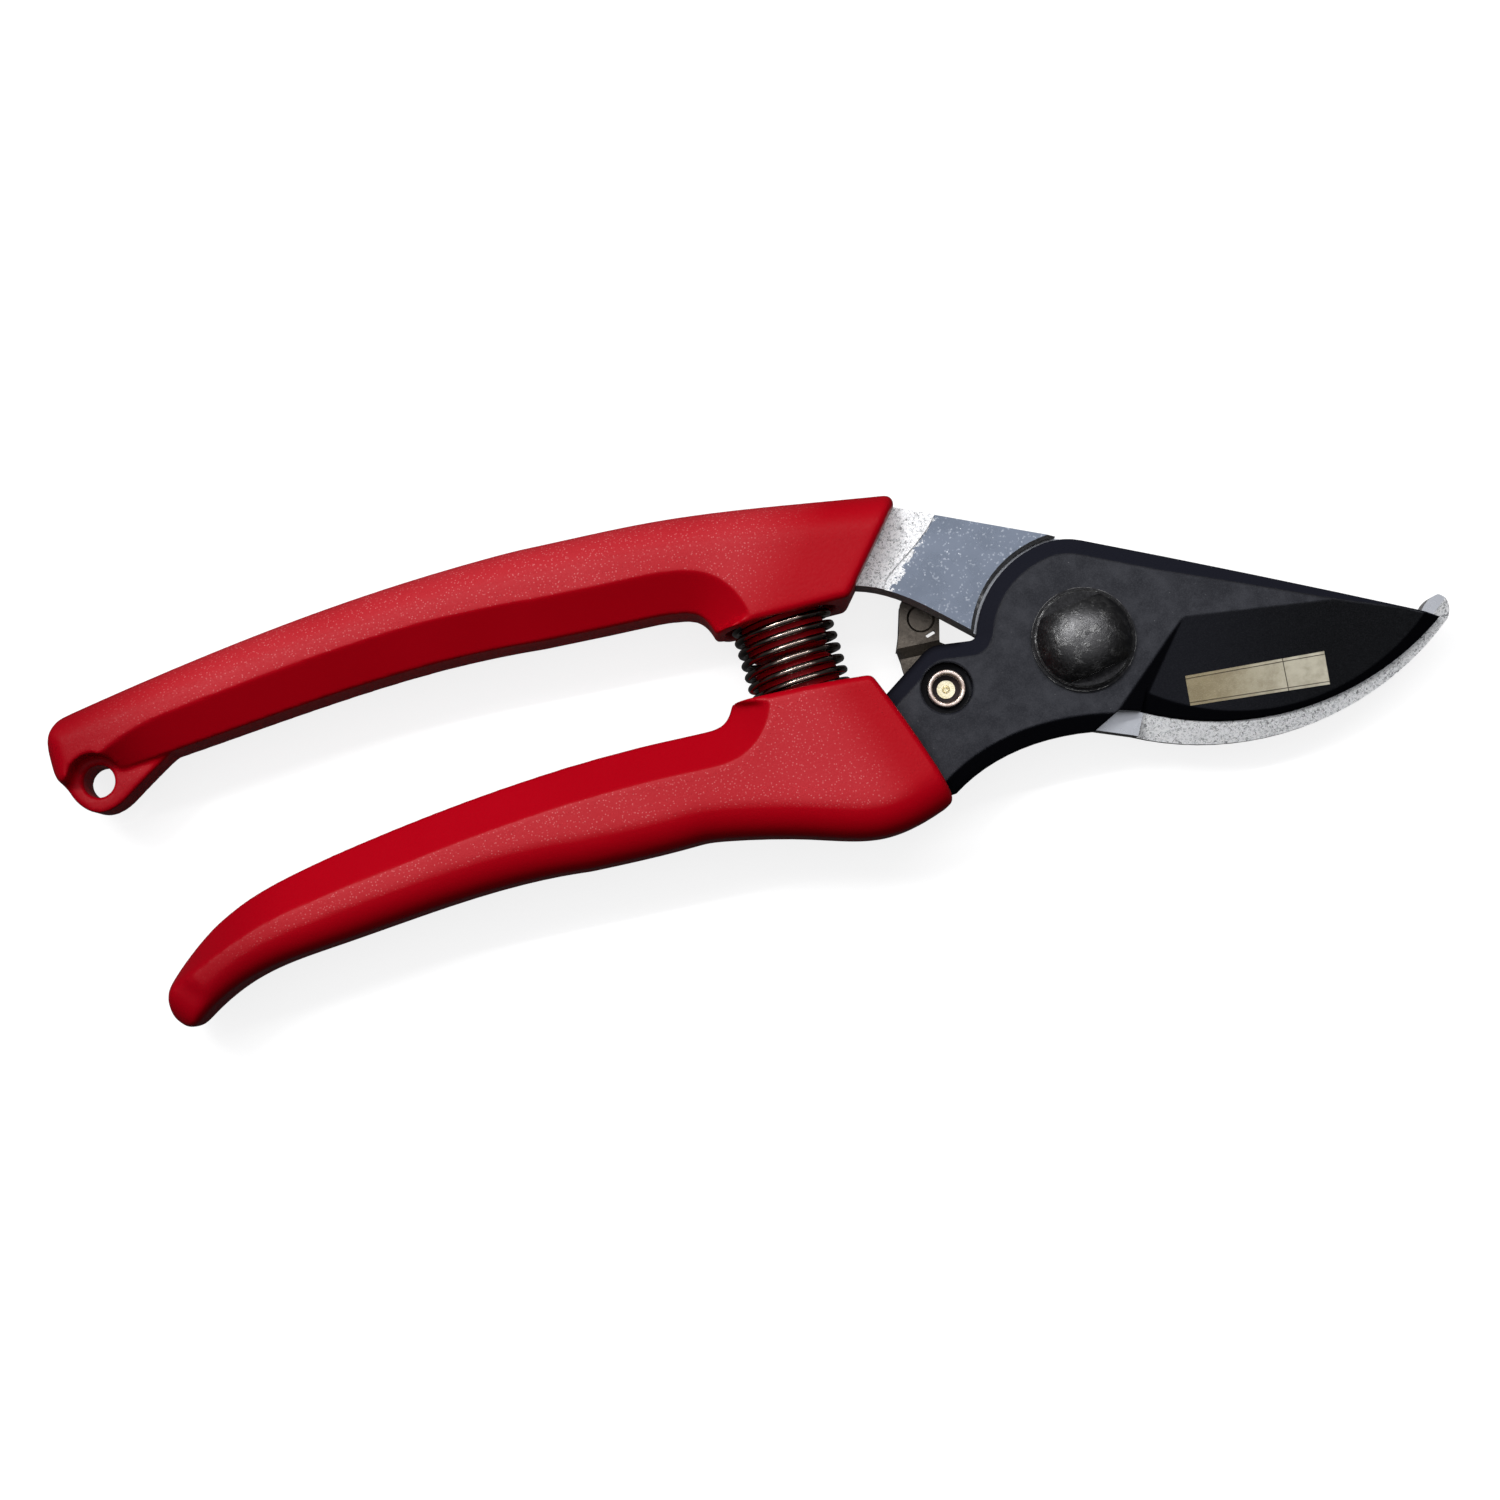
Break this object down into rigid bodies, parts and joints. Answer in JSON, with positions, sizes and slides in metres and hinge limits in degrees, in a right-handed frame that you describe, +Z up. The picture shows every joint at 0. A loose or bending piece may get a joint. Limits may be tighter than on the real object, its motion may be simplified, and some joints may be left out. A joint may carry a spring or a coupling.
{
  "type": "pruning shears",
  "caption": "Bypass pruning shears with a curved cutting blade over a hooked counter-blade, moulded grips, a coil spring between them and a thumb catch.",
  "frame": {"origin": "on the pivot axis, in the plane the closed shears lie on, which is the lower face of both grips", "axes": "+Z up along the pivot axis, +X towards the blade tip along the shears, +Y towards the handle that carries the hooked counter-blade"},
  "size_m": [0.1987, 0.0564, 0.019],
  "materials": {
    "blade_black": "low-friction black coating, satin",
    "forged_silver": "satin plated, fine ground",
    "grip_red": "fine leathery grain on the flats, smooth on the bevels",
    "bolt_black": "black oxide, satin",
    "zinc": "zinc plated",
    "nylon": "plain",
    "catch_steel": "blued, dull",
    "pale_brass": "satin",
    "dark_washer": "dull",
    "spring_steel": "oiled spring wire"
  },
  "bodies": {
    "counter_lever": {"counter_blade": "forged_silver", "upper_grip": "grip_red", "pivot_bolt": "bolt_black", "head_washer": "bolt_black", "nut_washer": "zinc", "pivot_nut": "zinc", "nut_insert": "nylon", "main_spring": "spring_steel"},
    "blade_lever": {"cutting_blade": "blade_black", "lower_grip": "grip_red", "catch_eyelet": "pale_brass"},
    "catch": {"catch_plate": "catch_steel", "catch_pin": "pale_brass", "catch_washer": "dark_washer", "catch_spring_washer": "catch_steel"}
  },
  "joints": [
    {"name": "handle_pivot", "type": "hinge", "parent": "counter_lever", "child": "blade_lever", "pos_m": [0, 0, 0], "axis": [0, 0, 1], "range_deg": [0, 28], "deforming": ["main_spring"]},
    {"name": "catch_pivot", "type": "hinge", "parent": "blade_lever", "child": "catch", "pos_m": [-0.0203, -0.0027, 0], "axis": [0, 0, 1], "range_deg": [0, 24]}
  ]
}
